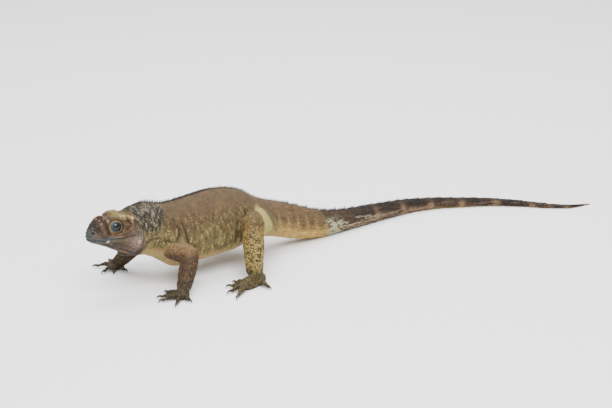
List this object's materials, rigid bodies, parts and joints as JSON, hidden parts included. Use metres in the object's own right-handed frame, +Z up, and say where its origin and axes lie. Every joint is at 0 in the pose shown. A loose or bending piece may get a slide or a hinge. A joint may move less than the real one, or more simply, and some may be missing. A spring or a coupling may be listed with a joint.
{
  "type": "rhinoceros iguana model",
  "caption": "Life-size still model of a half-grown rhinoceros iguana walking, belly off the floor, tail laid along it.",
  "frame": {"origin": "centre of the object's box at floor level", "axes": "+X towards the tail, the head points along -X; -Y is the animal's left side; +Z up"},
  "size_m": [0.8184, 0.2863, 0.1204],
  "materials": {
    "head_skin": "dry scaly skin, brown with tan, bluish lips",
    "neck_skin": "rough granular skin, grey with cream grains",
    "body_skin": "fine dry scales, olive brown with pale rows",
    "tail_base_skin": "scales in rings, brown above, tan below",
    "tail_skin": "keeled scales in rings, dark with pale bands",
    "arm_skin": "fine dry scales, rust brown",
    "leg_skin": "fine dry scales, yellow-tan with dark specks",
    "foot_skin": "coarse dry scales and dark claws",
    "eye": "wet gloss"
  },
  "bodies": {
    "root": {"head": "head_skin", "eye_left": "eye", "eye_right": "eye", "neck": "neck_skin", "torso": "body_skin", "tail_1": "tail_base_skin", "tail_2": "tail_skin", "tail_3": "tail_skin", "tail_4": "tail_skin", "tail_5": "tail_skin", "upper_arm_left": "arm_skin", "forearm_left": "arm_skin", "hand_left": "foot_skin", "thigh_left": "leg_skin", "shin_left": "leg_skin", "foot_left": "foot_skin", "upper_arm_right": "arm_skin", "forearm_right": "arm_skin", "hand_right": "foot_skin", "thigh_right": "leg_skin", "shin_right": "leg_skin", "foot_right": "foot_skin"}
  },
  "joints": []
}
